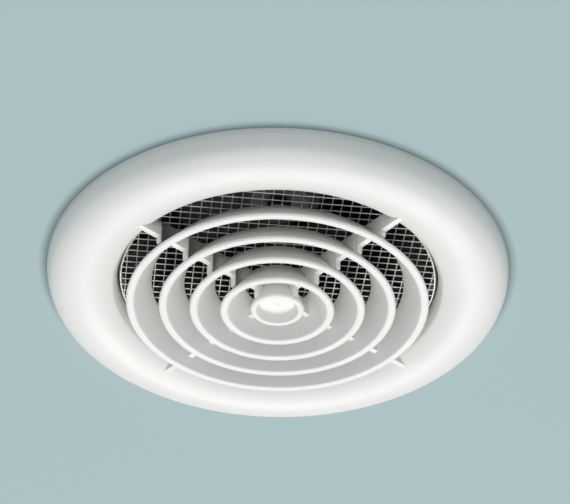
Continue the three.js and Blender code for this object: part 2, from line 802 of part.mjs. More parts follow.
function addElectrics() {
  add("terminal_box", terminalBox(), darkPlastic);
  add("terminal_cover", terminalCover(), darkPlastic);
  BOSSES.forEach(([y, z], i) => {
    const { radius, head, headHeight, length } = coverScrew;
    const screw = standingScrew(radius, head, headHeight, 0, length).rotateY(Math.PI / 2);
    add(`cover_screw_${i + 1}`, screw.translate(cover.x1 + GAP, y, z), zincSteel);
  });
  const { x0, x1, halfWidth, z0, z1 } = board;
  add("control_board", block(x0, x1, -halfWidth, halfWidth, z0, z1), circuitGreen);
  add("terminal_block", terminalBlock(), nylonWhite);
  terminals.sides.forEach((y, i) => {
    const screw = alongX(terminals.screw, terminals.x1 - 2, terminals.x1 - 0.2, y, terminals.z);
    add(`terminal_screw_${i + 1}`, screw, brass);
  });
  const can = alongY(capacitor.radius, capacitor.y0, capacitor.y1, capacitor.z);
  add("run_capacitor", can.translate(x1 + capacitor.radius + 2 * GAP, 0, 0), greyPlastic);
  add("overrun_trimmer", overrunTrimmer(), nylonWhite);
  const at = { x: gland.x };
  add("cable_gland", glandBody(), greyPlastic, at);
  const lockingNut = hexNut(gland.thread + GAP, gland.flange, locknut.bottomZ, locknut.topZ);
  const grommet = ring(gland.bore, glandSeal.radius, glandSeal.bottomZ, glandSeal.topZ, SMALL);
  add("gland_locknut", lockingNut, greyPlastic, at);
  add("gland_seal", grommet, rubber, at);
  add("gland_cap", glandCap(), greyPlastic, at);
}

addFascia();
addHousing();
addFlaps();
addMotor();
addElectrics();

export default fan;
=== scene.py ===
"""Looks of the round ceiling extractor fan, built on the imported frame. Shapes are made in millimetres."""
import math

import bmesh
import bpy
from mathutils import Matrix, Vector


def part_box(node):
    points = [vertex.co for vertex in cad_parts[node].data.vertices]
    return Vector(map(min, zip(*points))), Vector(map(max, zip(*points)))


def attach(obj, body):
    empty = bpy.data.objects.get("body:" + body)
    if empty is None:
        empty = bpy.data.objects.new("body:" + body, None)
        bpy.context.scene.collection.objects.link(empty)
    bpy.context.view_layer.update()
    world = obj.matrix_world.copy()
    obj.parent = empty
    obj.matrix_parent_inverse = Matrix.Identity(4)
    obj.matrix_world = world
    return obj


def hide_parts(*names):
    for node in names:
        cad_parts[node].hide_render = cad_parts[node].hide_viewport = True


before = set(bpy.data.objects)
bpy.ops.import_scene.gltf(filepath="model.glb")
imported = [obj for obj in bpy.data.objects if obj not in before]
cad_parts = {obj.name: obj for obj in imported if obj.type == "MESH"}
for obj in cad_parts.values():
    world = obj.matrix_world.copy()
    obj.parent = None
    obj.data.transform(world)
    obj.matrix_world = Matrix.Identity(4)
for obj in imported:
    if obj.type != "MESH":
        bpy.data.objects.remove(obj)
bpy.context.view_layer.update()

MM = 0.001
GAP = 0.3  # the clearance the frame keeps between pieces that touch
FINE = 216  # facets round the parts that are looked at closely
ROUND = 128  # facets round the housing and the duct parts
SMALL = 48  # facets round the small turned parts
SHARP = math.radians(34)  # edges sharper than this stay crisp
NOISE_SPAN = (0.3, 0.7)  # the part of a noise value's 0 to 1 that nearly all of it falls in


# ---- Frame measures ------------------------------------------------------------------------------

def low(node):
    """The node's lowest corner in millimetres."""
    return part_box(node)[0] / MM


def high(node):
    """The node's highest corner in millimetres."""
    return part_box(node)[1] / MM


# ---- Outlines ------------------------------------------------------------------------------------

def rounded(points, steps=4):
    """An outline from (x, y, radius) corners, each turned into an arc of its radius."""
    outline = []
    for i, (x, y, radius) in enumerate(points):
        corner = Vector((x, y))
        if radius == 0:
            outline.append(corner)
            continue
        back = Vector(points[i - 1][:2]) - corner
        ahead = Vector(points[(i + 1) % len(points)][:2]) - corner
        room = 0.48 * min(back.length, ahead.length)
        back.normalize()
        ahead.normalize()
        half = back.angle(ahead) / 2
        cut = min(radius / math.tan(half), room)
        centre = corner + (back + ahead).normalized() * cut / math.cos(half)
        start = corner + back * cut - centre
        end = corner + ahead * cut - centre
        sweep = start.angle_signed(end)
        for k in range(steps + 1):
            arm = start.copy()
            arm.rotate(Matrix.Rotation(-sweep * k / steps, 2))
            outline.append(centre + arm)
    return outline


def smooth_line(points, steps):
    """A Catmull-Rom curve through the points."""
    knots = [Vector(p) for p in points]
    knots = [2 * knots[0] - knots[1], *knots, 2 * knots[-1] - knots[-2]]
    line = []
    for a, b, c, d in zip(knots, knots[1:], knots[2:], knots[3:]):
        for k in range(steps):
            t = k / steps
            line.append(0.5 * (2 * b + (c - a) * t + (2 * a - 5 * b + 4 * c - d) * t * t
                               + (3 * b - a - 3 * c + d) * t ** 3))
    return [*line, knots[-2]]


def offset(line, distance):
    """The line moved sideways, to the left of its direction."""
    shifted = []
    for i, point in enumerate(line):
        along = line[min(i + 1, len(line) - 1)] - line[max(i - 1, 0)]
        along.normalize()
        shifted.append(point + Vector((-along.y, along.x)) * distance)
    return shifted


def quarter(radius, height, radial, axial, steps=18):
    """A quarter of an ellipse from the throat side down to the underside."""
    angles = [math.pi / 2 * i / steps for i in range(steps + 1)]
    return [Vector((radius - radial * math.cos(a), height - axial * math.sin(a))) for a in angles]


# ---- Solids, as bmeshes in millimetres -----------------------------------------------------------

def revolve(outline, segments=ROUND):
    """A closed outline of (radius, height) points turned about Z."""
    bm = bmesh.new()
    on_axis = {}
    columns = []
    for s in range(segments):
        angle = 2 * math.pi * s / segments
        column = []
        for i, (radius, height) in enumerate(outline):
            if radius < 1e-6:
                if i not in on_axis:
                    on_axis[i] = bm.verts.new((0, 0, height))
                column.append(on_axis[i])
            else:
                column.append(bm.verts.new((radius * math.cos(angle), radius * math.sin(angle), height)))
        columns.append(column)
    for s in range(segments):
        here, there = columns[s], columns[(s + 1) % segments]
        for i in range(len(outline)):
            j = (i + 1) % len(outline)
            corners = list(dict.fromkeys([here[i], here[j], there[j], there[i]]))
            if len(corners) > 2:
                bm.faces.new(corners)
    return bm


def ring(inner, outer, bottom, top, edge=0.3, segments=ROUND):
    corners = [(inner, bottom, edge), (outer, bottom, edge), (outer, top, edge), (inner, top, edge)]
    return revolve(rounded(corners, 3), segments)


def rod(radius, bottom, top, edge=0.2, segments=SMALL):
    corners = [(0, bottom, 0), (radius, bottom, edge), (radius, top, edge), (0, top, 0)]
    return revolve(rounded(corners, 3), segments)


def extrude(outline, depth, edge=0.0):
    """A flat outline of (x, y) points given a depth, centred on z = 0, with rounded edges."""
    bm = bmesh.new()
    face = bm.faces.new([bm.verts.new((p[0], p[1], -depth / 2)) for p in outline])
    grown = bmesh.ops.extrude_face_region(bm, geom=[face])
    tops = [v for v in grown["geom"] if isinstance(v, bmesh.types.BMVert)]
    bmesh.ops.translate(bm, verts=tops, vec=(0, 0, depth))
    if edge:
        rims = [e for e in bm.edges if abs(e.verts[0].co.z - e.verts[1].co.z) < 1e-6]
        bmesh.ops.bevel(bm, geom=rims, offset=edge, segments=2, affect="EDGES", profile=0.5)
    return bm


def block(x0, x1, y0, y1, z0, z1, edge=0.4, steps=3):
    """A box with all its edges rounded."""
    bm = bmesh.new()
    size = Matrix.Diagonal((x1 - x0, y1 - y0, z1 - z0, 1))
    place = Matrix.Translation(((x0 + x1) / 2, (y0 + y1) / 2, (z0 + z1) / 2))
    bmesh.ops.create_cube(bm, size=1, matrix=place @ size)
    if edge:
        bmesh.ops.bevel(bm, geom=bm.edges[:], offset=edge, segments=steps, affect="EDGES", profile=0.5)
    return bm


def radial_plate(outline, thickness, edge=0.3):
    """A plate standing on edge along +X, cut to an outline of (radius, height) points."""
    bm = extrude(outline, thickness, edge)
    bm.transform(Matrix.Rotation(math.pi / 2, 4, "X"))
    return bm


def moved(bm, matrix):
    bm.transform(matrix)
    return bm


def at(radius, angle, bm):
    """The solid moved out along X and turned about Z by an angle in degrees."""
    return moved(bm, Matrix.Rotation(math.radians(angle), 4, "Z") @ Matrix.Translation((radius, 0, 0)))


def along_x(bm, y=0.0, z=0.0):
    """A solid made on Z, laid along +X."""
    return moved(bm, Matrix.Translation((0, y, z)) @ Matrix.Rotation(math.pi / 2, 4, "Y"))


def along_y(bm, z=0.0):
    return moved(bm, Matrix.Translation((0, 0, z)) @ Matrix.Rotation(-math.pi / 2, 4, "X"))


def turns(count, first=0.0):
    return [first + 360 * i / count for i in range(count)]


def facing_out(bm):
    """Turns every face outwards."""
    bmesh.ops.recalc_face_normals(bm, faces=bm.faces)
    return bm


def loose(bm):
    """A bmesh as an object still in millimetres, to be joined or cut."""
    mesh = bpy.data.meshes.new("tool")
    facing_out(bm).to_mesh(mesh)
    bm.free()
    made = bpy.data.objects.new("tool", mesh)
    bpy.context.scene.collection.objects.link(made)
    return made


def combined(base, joins=(), cuts=()):
    """Joins and cuts solids exactly; all are bmeshes, and the result is a mesh in millimetres."""
    body = loose(base)
    tools = []
    for operation, group in (("UNION", joins), ("DIFFERENCE", cuts)):
        for bm in group:
            tool = loose(bm)
            step = body.modifiers.new(operation, "BOOLEAN")
            step.operation = operation
            step.solver = "EXACT"
            step.object = tool
            tools.append(tool)
    graph = bpy.context.evaluated_depsgraph_get()
    mesh = bpy.data.meshes.new_from_object(body.evaluated_get(graph))
    for used in (body, *tools):
        bpy.data.objects.remove(used)
    return mesh


def piece(name, shape, material, body, slot, *replaced, sharp=SHARP):
    """Makes a piece from a bmesh or a mesh in millimetres, and says what it rides on and stands for."""
    if isinstance(shape, bmesh.types.BMesh):
        mesh = bpy.data.meshes.new(name)
        facing_out(shape).to_mesh(mesh)
        shape.free()
    else:
        mesh = shape
        mesh.name = name
    mesh.transform(Matrix.Scale(MM, 4))
    mesh.polygons.foreach_set("use_smooth", [True] * len(mesh.polygons))
    mesh.set_sharp_from_angle(angle=sharp)
    mesh.materials.clear()
    mesh.materials.append(material)
    made = bpy.data.objects.new(name, mesh)
    bpy.context.scene.collection.objects.link(made)
    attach(made, body)
    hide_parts(*replaced)
    return made


# ---- Materials -----------------------------------------------------------------------------------

def new_material(name):
    material = bpy.data.materials.new(name)
    material.use_nodes = True
    return material, material.node_tree, material.node_tree.nodes["Principled BSDF"]


def noise(tree, scale, detail=3.0, stretch=(1, 1, 1)):
    """Noise in the object's own space, with features about 1 / scale metres across."""
    place = tree.nodes.new("ShaderNodeTexCoord")
    spread = tree.nodes.new("ShaderNodeMapping")
    spread.inputs["Scale"].default_value = stretch
    texture = tree.nodes.new("ShaderNodeTexNoise")
    texture.inputs["Scale"].default_value = scale
    texture.inputs["Detail"].default_value = detail
    tree.links.new(place.outputs["Object"], spread.inputs["Vector"])
    tree.links.new(spread.outputs["Vector"], texture.inputs["Vector"])
    return texture.outputs["Fac"]


def ranged(tree, value, low_value, high_value):
    """A noise value spread over a range."""
    node = tree.nodes.new("ShaderNodeMapRange")
    node.inputs["From Min"].default_value = NOISE_SPAN[0]
    node.inputs["From Max"].default_value = NOISE_SPAN[1]
    node.inputs["To Min"].default_value = low_value
    node.inputs["To Max"].default_value = high_value
    tree.links.new(value, node.inputs["Value"])
    return node.outputs["Result"]


def blended(tree, value, first, second):
    """A colour between two, by a noise value."""
    node = tree.nodes.new("ShaderNodeValToRGB")
    for stop, position, color in zip(node.color_ramp.elements, NOISE_SPAN, (first, second)):
        stop.position = position
        stop.color = (*color, 1)
    tree.links.new(value, node.inputs["Fac"])
    return node.outputs["Color"]


def bump(tree, shader, height, distance, strength=1.0, after=None):
    node = tree.nodes.new("ShaderNodeBump")
    node.inputs["Distance"].default_value = distance
    node.inputs["Strength"].default_value = strength
    tree.links.new(height, node.inputs["Height"])
    if after is not None:
        tree.links.new(after, node.inputs["Normal"])
    tree.links.new(node.outputs["Normal"], shader.inputs["Normal"])
    return node.outputs["Normal"]


def moulded(name, light, dark, roughness, grain=2600.0, relief=0.000012):
    """Moulded plastic: a faint cloudiness in the colour, a spark-eroded grain and uneven gloss."""
    material, tree, shader = new_material(name)
    tree.links.new(blended(tree, noise(tree, 22, 4), dark, light), shader.inputs["Base Color"])
    tree.links.new(ranged(tree, noise(tree, 60, 5), *roughness), shader.inputs["Roughness"])
    wave = bump(tree, shader, noise(tree, 45, 2), 0.00012, 0.35)
    bump(tree, shader, noise(tree, grain, 2), relief, 0.6, wave)
    shader.inputs["IOR"].default_value = 1.5
    return material


def metal(name, light, dark, roughness, stretch=(1, 1, 1), grain=1800.0, relief=0.000006):
    """Metal with drawn or rolled streaks, and stains that dull it."""
    material, tree, shader = new_material(name)
    tree.links.new(blended(tree, noise(tree, 120, 5), dark, light), shader.inputs["Base Color"])
    tree.links.new(ranged(tree, noise(tree, 260, 4, stretch), *roughness), shader.inputs["Roughness"])
    bump(tree, shader, noise(tree, grain, 3, stretch), relief, 0.8)
    shader.inputs["Metallic"].default_value = 1.0
    return material


def cellular(name, light, dark, cell, relief, roughness=0.9):
    """Foam or rubber: small cells pressed into a dull skin."""
    material, tree, shader = new_material(name)
    place = tree.nodes.new("ShaderNodeTexCoord")
    cells = tree.nodes.new("ShaderNodeTexVoronoi")
    cells.inputs["Scale"].default_value = cell
    tree.links.new(place.outputs["Object"], cells.inputs["Vector"])
    tree.links.new(blended(tree, noise(tree, 300, 4), dark, light), shader.inputs["Base Color"])
    tree.links.new(ranged(tree, noise(tree, 500, 3), roughness - 0.08, roughness), shader.inputs["Roughness"])
    bump(tree, shader, cells.outputs["Distance"], relief, 0.8)
    return material


WHITE = moulded("white_plastic", (0.905, 0.895, 0.875), (0.875, 0.864, 0.842), (0.30, 0.42))
BLACK = moulded("black_plastic", (0.034, 0.031, 0.028), (0.021, 0.0195, 0.018), (0.42, 0.60), 1900, 0.00003)
GREY = moulded("grey_plastic", (0.235, 0.245, 0.255), (0.19, 0.2, 0.21), (0.40, 0.58), 2100, 0.00002)
NYLON = moulded("natural_nylon", (0.80, 0.77, 0.69), (0.74, 0.71, 0.63), (0.35, 0.5))
BOARD = moulded("circuit_board", (0.025, 0.17, 0.085), (0.02, 0.12, 0.06), (0.25, 0.4), 900, 0.00004)
WIRE = metal("screen_wire", (0.86, 0.85, 0.82), (0.70, 0.69, 0.66), (0.38, 0.55))
SPRING = metal("spring_steel", (0.66, 0.67, 0.69), (0.54, 0.55, 0.57), (0.18, 0.34), (1, 1, 14))
ZINC = metal("zinc_plate", (0.74, 0.73, 0.68), (0.60, 0.60, 0.57), (0.24, 0.42))
STEEL = metal("motor_steel", (0.44, 0.45, 0.46), (0.33, 0.34, 0.35), (0.34, 0.52), (1, 1, 10))
COPPER = metal("copper_winding", (0.72, 0.34, 0.17), (0.52, 0.22, 0.10), (0.25, 0.45), (1, 1, 30))
BRONZE = metal("sintered_bronze", (0.55, 0.41, 0.24), (0.40, 0.29, 0.16), (0.45, 0.65), grain=5200,
               relief=0.00002)
BRASS = metal("turned_brass", (0.80, 0.62, 0.30), (0.66, 0.49, 0.21), (0.20, 0.36))
FOAM = cellular("seal_foam", (0.05, 0.05, 0.052), (0.03, 0.03, 0.031), 1400, 0.00012)
RUBBER = cellular("rubber", (0.034, 0.034, 0.035), (0.022, 0.022, 0.023), 3000, 0.00002, 0.82)


# ---- Fascia --------------------------------------------------------------------------------------

# Points of (radius, height) from the ceiling over the crest to the collar.
FASCIA_FACE = [(90, 0), (89.5, -3.6), (87.6, -7.5), (83.5, -10.6), (78, -12), (73, -11.8), (68.5, -10.2),
               (64.5, -7.7), (63.3, -5.9)]
FASCIA_WALL = 2.2
COLLAR = (62.7, 64.5)  # inner and outer radius
COLLAR_BOTTOM = -4.9


def fascia_moulding():
    """The domed ring: one smooth face from the ceiling in to the collar behind it."""
    face = smooth_line(FASCIA_FACE, 7)
    top = high("fascia_ring").z
    back = [p for p in offset(face, -FASCIA_WALL) if p.x > COLLAR[1] + 2 and p.y < -1]
    rim = FASCIA_FACE[0][0] - FASCIA_WALL
    collar = rounded([(COLLAR[0], COLLAR_BOTTOM, 0), (COLLAR[0], top, 0.6), (COLLAR[1], top, 0.6),
                      (COLLAR[1], COLLAR_BOTTOM - 0.5, 0)], 3)
    outline = [*face, *collar, *reversed(back), Vector((rim, 0))]
    piece("fascia_moulding", revolve(outline, FINE), WHITE, "fascia_assembly", "white_plastic", "fascia_ring")


LOUVRES = [(58.7, -14.5), (46, -15.3), (34.1, -16), (22.2, -16.5)]  # radius and height of each rim
HUB = (10.4, -15.7)  # the same for the hub's rim
HUB_BACK = 6.6  # the hub's radius at its back
LOUVRE_BACK = -3.5  # height of all the backs
FLARE = 8.5  # how much wider a louvre is at its rim than at its back
RIM_WIDTH = 3.6
RIM_RISE = 0.7  # from a rim's lowest line up to its outer corner
BACK_WALL = 1.4
DISH = (8.1, 6.9, -12.1)  # radius at the rim, radius and height of its floor
GATE = (1.3, 1.0, 0.6)  # radii of the groove round the gate mark
GATE_DEPTH = 0.25
SPOKE_Z = -10.4  # height of a spoke's front edge between the rims
SPOKE_ANGLE = 41
SPOKE_SHEET = 2.4
SPOKE_INNER = 2
SPOKE_STEP = [(0.6, 2.2), (-0.4, 1.1), (-2, 1.1)]  # past a rim's radius and above its height
SPOKE_END = [(62.5, -3.5), (62.85, -5), (63.5, -6.1), (64.75, -7.65), (68.9, -10.25)]


def louvre_ring(front, height):
    """A thin cone that opens downwards, with a wide soft rim."""
    back = front - FLARE
    corners = [(back, LOUVRE_BACK, 0.4), (front + 0.1, height + RIM_RISE, 0.7), (front - 0.7, height, 0.7),
               (front - RIM_WIDTH + 0.5, height, 1.2), (back - BACK_WALL, LOUVRE_BACK, 0.4)]
    return revolve(rounded(corners, 5), FINE)


def louvre_hub():
    """The cone in the middle, with its dished face and the mark of the moulding gate."""
    radius, height = HUB
    dish, flat, floor = DISH
    corners = [(0, LOUVRE_BACK, 0), (HUB_BACK, LOUVRE_BACK, 0.3), (radius + 0.1, height + RIM_RISE, 0.6),
               (radius - 0.6, height, 0.6), (dish, height, 0.6), (flat, floor, 0.5),
               (GATE[0], floor, 0.3), (GATE[1], floor + GATE_DEPTH, 0.2), (GATE[2], floor + GATE_DEPTH, 0.1),
               (0, floor + 0.1, 0)]
    return revolve(rounded(corners, 5), 96)


def spoke_outline():
    """A plate from the middle to the fascia, stepping down in front to each rim."""
    outline = [(SPOKE_INNER, LOUVRE_BACK), *SPOKE_END]
    for front, height in [*LOUVRES, HUB]:
        share = (LOUVRE_BACK - SPOKE_Z) / (LOUVRE_BACK - height - RIM_RISE)
        inside_wall = front - FLARE * (1 - share) - BACK_WALL / 2
        outline.append((front + SPOKE_STEP[0][0], SPOKE_Z))
        outline += [(front + out, height + up) for out, up in SPOKE_STEP]
        outline.append((inside_wall, SPOKE_Z))
    outline.append((SPOKE_INNER, SPOKE_Z))
    return outline


def spoke_ribs(angle):
    """Slim ribs down both sides of a spoke, at each rim."""
    half = SPOKE_SHEET / 2 + 0.15
    top = LOUVRE_BACK - 0.3
    return [at(0, angle, block(front - 0.25, front + 0.25, -half, half, height + 1.2, top, 0.1, 2))
            for front, height in LOUVRES]


def louvre_moulding():
    rings = [louvre_ring(front, height) for front, height in LOUVRES]
    angles = turns(4, SPOKE_ANGLE)
    spokes = [at(0, angle, radial_plate(spoke_outline(), SPOKE_SHEET, 0.25)) for angle in angles]
    ribs = [rib for angle in angles for rib in spoke_ribs(angle)]
    mesh = combined(louvre_hub(), joins=[*rings, *spokes, *ribs])
    piece("louvre_moulding", mesh, WHITE, "fascia_assembly", "white_plastic", "louvre_core")


WIRE_PITCH = 3.7
WIRE_RADIUS = 0.22
EDGE_WIRE_RADIUS = 0.4
SCREEN_TURN = 5.6


def tube(path, radius, sides, verts, faces):
    """Adds a round closed tube along a path of points to lists of vertices and faces."""
    first = len(verts)
    for i, point in enumerate(path):
        along = (path[min(i + 1, len(path) - 1)] - path[max(i - 1, 0)]).normalized()
        side = along.cross(Vector((0, 0, 1))).normalized()
        up = side.cross(along)
        for k in range(sides):
            angle = 2 * math.pi * k / sides
            verts.append(point + (side * math.cos(angle) + up * math.sin(angle)) * radius)
    for i in range(len(path) - 1):
        for k in range(sides):
            a = first + i * sides + k
            b = first + i * sides + (k + 1) % sides
            faces.append((a, b, b + sides, a + sides))
    faces.append(tuple(first + k for k in reversed(range(sides))))
    last = first + (len(path) - 1) * sides
    faces.append(tuple(last + k for k in range(sides)))


def wire_screen():
    """Straight wires in two layers, welded where they cross and into a round edge wire."""
    middle = (low("insect_screen").z + high("insect_screen").z) / 2
    reach = high("insect_screen").x - 0.45
    count = int((reach - 1) / WIRE_PITCH)
    verts, faces = [], []
    for way in (0, 1):
        height = middle + WIRE_RADIUS * (0.85 if way else -0.85)
        for i in range(-count, count + 1):
            across = i * WIRE_PITCH
            half = math.sqrt(reach ** 2 - across ** 2)
            steps = max(2, round(half / WIRE_PITCH))
            path = []
            for s in range(steps + 1):
                t = -half + 2 * half * s / steps
                path.append(Vector((across, t, height)) if way else Vector((t, across, height)))
            tube(path, WIRE_RADIUS, 10, verts, faces)
    mesh = bpy.data.meshes.new("wire_screen")
    mesh.from_pydata(verts, [], faces)
    mesh.transform(Matrix.Rotation(math.radians(SCREEN_TURN), 4, "Z"))
    piece("wire_screen", mesh, WIRE, "fascia_assembly", "screen_wire", "insect_screen",
          sharp=math.radians(80))
    section = [Vector((reach + EDGE_WIRE_RADIUS * math.cos(a), middle + EDGE_WIRE_RADIUS * math.sin(a)))
               for a in (2 * math.pi * k / 10 for k in range(10))]
    piece("screen_edge_wire", revolve(section, FINE), WIRE, "fascia_assembly", "screen_wire")


# The middle line of a clip's strip, as points of (radius, height).
CLIP_LINE = [(62.1, 4.5), (62.1, 8.6), (62.35, 10.35), (63.6, 10.65), (65.1, 10.5), (67.6, 7.6), (69.0, 5.6),
             (67.7, 3.6), (65.6, 0.6)]


def fascia_clips():
    line = smooth_line(CLIP_LINE, 6)
    outline = [*offset(line, 0.25), *reversed(offset(line, -0.25))]
    for i, angle in enumerate(turns(3, 90)):
        strip = at(0, angle, radial_plate(outline, 8, 0.1))
        piece(f"spring_clip_{i + 1}", strip, SPRING, "fascia_assembly", "spring_steel",
              f"fascia_clip_{i + 1}")


# ---- Housing, seal and spigot --------------------------------------------------------------------

FLANGE = (84, -3.8, -1.8)  # outer radius, underside, top
BODY = (70, 72)  # inner and outer radius
SHOULDER_Z = 14  # where the wide part starts to close in to the inlet
THROAT = (48, 34)  # inner radius, and the height it starts at
JOINT = (55.2, 56)  # outer radius and top of the rim that the spigot sits on
CEILING_SCREWS = (78, 2.3)  # radius of their circle, and of their holes
JOINT_SCREWS = (52.7, 1.6)
MOTOR_SCREWS = (14, 1.6)
BUSH_TOP = 90
PIN_HOLE = 1.3  # radius
LEAD_HOLE = 2.2
LEAD_Z = 61


def hole(radius, bottom, top):
    return rod(radius, bottom, top, 0)


def housing_moulding():
    """Flange, can and bell-shaped inlet in one, with gussets in the hollow of the shoulder."""
    inner, outer = BODY
    bell = quarter(inner, THROAT[1], inner - THROAT[0], THROAT[1] - SHOULDER_Z)
    back = quarter(inner, THROAT[1], inner - THROAT[0] - 2, THROAT[1] - SHOULDER_Z - 2)
    mouth = rounded([(inner, 0, 0), (inner, FLANGE[1], 0.8), (FLANGE[0], FLANGE[1], 0.5),
                     (FLANGE[0], FLANGE[2], 0.4), (outer, FLANGE[2], 0.3), (outer, SHOULDER_Z + 2, 0.9),
                     (inner, SHOULDER_Z + 2, 0)], 3)
    neck = rounded([(THROAT[0] + 2, THROAT[1] + 1, 0), (THROAT[0] + 2, JOINT[1] - 2, 0.6),
                    (JOINT[0], JOINT[1] - 2, 0.4), (JOINT[0], JOINT[1], 0.4), (THROAT[0], JOINT[1], 0.3),
                    (THROAT[0], THROAT[1] + 1, 0)], 3)
    outline = [*mouth, *reversed(back[:-1]), *neck, *bell]
    gusset = [(49.2, 20), (49.2, 48), (50.6, 48), (69.8, 17.5), (71, 16.6), (71, 15.2), (58, 15.2)]
    gussets = [at(0, angle, radial_plate(gusset, 1.6, 0.2)) for angle in turns(12)[1:]]
    box_bottom = low("terminal_box").z - GAP
    feet = [block(61, 69, y - 1.5, y + 1.5, 15.9, box_bottom, 0.3) for y in (-11.5, 11.5)]
    holes = [at(CEILING_SCREWS[0], a, hole(CEILING_SCREWS[1], -6, 1)) for a in turns(4, 45)]
    holes += [at(JOINT_SCREWS[0], a, hole(JOINT_SCREWS[1], 52, 58)) for a in turns(3, 60)]
    mesh = combined(revolve(outline), joins=[*gussets, *feet], cuts=holes)
    piece("housing_moulding", mesh, BLACK, "fan_body", "black_plastic", "housing")


def ceiling_seal():
    seal = ring(BODY[1] + 0.6, FLANGE[0], FLANGE[2] + GAP, 0, 0.35)
    holes = [at(CEILING_SCREWS[0], a, hole(CEILING_SCREWS[1], -3, 1)) for a in turns(4, 45)]
    piece("ceiling_seal", combined(seal, cuts=holes), FOAM, "fan_body", "seal_foam", "ceiling_gasket")


SPIGOT = (47.5, 49.5)  # inner and outer radius
SEAT = (45.5, 90.3, 95.2)  # inner radius, underside, top
PIN_Z = 97.4


def spigot_moulding():
    """The outlet tube, with a grip bead for the duct and the seat that the flaps close on."""
    foot, top = low("outlet_spigot").z, high("outlet_spigot").z
    inner, outer = SPIGOT
    flange = [(inner, foot, 0.3), (JOINT[0], foot, 0.4), (JOINT[0], foot + 2, 0.4), (outer, foot + 2, 0.8)]
    groove = [(outer, 66, 0.1), (outer - 0.3, 66.3, 0.1), (outer - 0.3, 66.9, 0.1), (outer, 67.2, 0.1)]
    bead = [(outer, top - 6.2, 0.5), (outer + 0.6, top - 5, 0.7), (outer, top - 3.8, 0.5), (outer, top, 0.7)]
    seat = [(inner, top, 0.7), (inner, SEAT[2], 0.2), (SEAT[0], SEAT[2], 0.5), (SEAT[0], SEAT[1] + 2, 0.5),
            (inner, SEAT[1], 0.3)]
    holes = [at(JOINT_SCREWS[0], a, hole(JOINT_SCREWS[1], foot - 1, foot + 3)) for a in turns(3, 60)]
    holes.append(along_y(hole(PIN_HOLE, -60, 60), PIN_Z))
    holes.append(along_x(hole(LEAD_HOLE, 40, 60), 0, LEAD_Z))
    mesh = combined(revolve(rounded([*flange, *groove, *bead, *seat], 3)), cuts=holes)
    piece("spigot_moulding", mesh, BLACK, "fan_body", "black_plastic", "outlet_spigot")


# ---- Screws --------------------------------------------------------------------------------------

def threaded(radius, bottom, top, pitch, depth, point, sides=20, per_turn=8):
    """A threaded rod on Z whose last stretch, of length point, runs to a tip."""
    bm = bmesh.new()
    rows = max(6, round((top - bottom) / pitch * per_turn))
    loops = []
    for i in range(rows + 1):
        z = bottom + (top - bottom) * i / rows
        fade = min(1.0, (top - z) / point + 0.04) if point else 1.0
        start = min(1.0, (z - bottom) / pitch)
        loop = []
        for k in range(sides):
            phase = (z / pitch - k / sides) % 1.0
            crest = max(0.0, 1 - abs(phase - 0.5) * 3.2)
            reach = (radius - depth + depth * crest * start) * fade
            angle = 2 * math.pi * k / sides
            loop.append(bm.verts.new((reach * math.cos(angle), reach * math.sin(angle), z)))
        loops.append(loop)
    for here, there in zip(loops, loops[1:]):
        for k in range(sides):
            j = (k + 1) % sides
            bm.faces.new((here[k], here[j], there[j], there[k]))
    bm.faces.new(list(reversed(loops[0])))
    bm.faces.new(loops[-1])
    return bm


def screw(radius, head, height, length, pitch, point):
    """A cross-recessed pan head below z = 0, with its threaded shank above."""
    corners = [(0, -height, 0), (head * 0.55, -height, 0.5 * height), (head, -height * 0.35, 0.3 * height),
               (head, 0, 0.1), (radius * 0.9, 0, 0.1), (radius * 0.9, 0.7, 0), (0, 0.7, 0)]
    top = revolve(rounded(corners, 4), 32)
    arms = [moved(block(-head * 0.5, head * 0.5, -head * 0.1, head * 0.1, -height - 1, -height * 0.45, 0),
                  Matrix.Rotation(turn, 4, "Z")) for turn in (0.4, 0.4 + math.pi / 2)]
    return combined(top, joins=[threaded(radius, 0.4, length, pitch, radius * 0.22, point)], cuts=arms)


def set_screw(name, node, shape, matrix):
    shape.transform(matrix)
    piece(name, shape, ZINC, "fan_body", "zinc_steel", node, sharp=math.radians(50))


def on_circle(radius, angle, height):
    """The place of a screw on a circle round Z, at an angle in degrees."""
    return Matrix.Rotation(math.radians(angle), 4, "Z") @ Matrix.Translation((radius, 0, height))


def all_screws():
    upside_down = Matrix.Rotation(math.pi, 4, "X")
    for i, angle in enumerate(turns(4, 45)):
        place = on_circle(CEILING_SCREWS[0], angle, FLANGE[1] - GAP)
        set_screw(f"fixing_screw_{i + 1}", f"ceiling_screw_{i + 1}", screw(1.9, 4.1, 2.4, 29.8, 1.8, 5),
                  place)
    for i, angle in enumerate(turns(3, 60)):
        place = on_circle(JOINT_SCREWS[0], angle, JOINT[1] + 2 + 2 * GAP)
        set_screw(f"joint_screw_{i + 1}", f"spigot_screw_{i + 1}", screw(1.2, 2.1, 1.6, 8, 0.9, 1.5),
                  place @ upside_down)
    for i, angle in enumerate(turns(3)):
        place = on_circle(MOTOR_SCREWS[0], angle, BUSH_TOP + GAP)
        set_screw(f"bracket_screw_{i + 1}", f"motor_screw_{i + 1}", screw(1.3, 3, 2, 10, 0.9, 1),
                  place @ upside_down)
    for i in (1, 2):
        node = f"cover_screw_{i}"
        middle = (low(node) + high(node)) / 2
        place = Matrix.Translation((high("terminal_cover").x + GAP, middle.y, middle.z))
        set_screw(f"lid_screw_{i}", node, screw(1.1, 2.2, 1.4, 9, 0.8, 1.5),
                  place @ Matrix.Rotation(-math.pi / 2, 4, "Y"))


# ---- Backdraught flaps ---------------------------------------------------------------------------

FLAP = (47, 95.5, 1.2)  # radius, underside, sheet thickness
KNUCKLES = 6
KNUCKLE_SPAN = 84


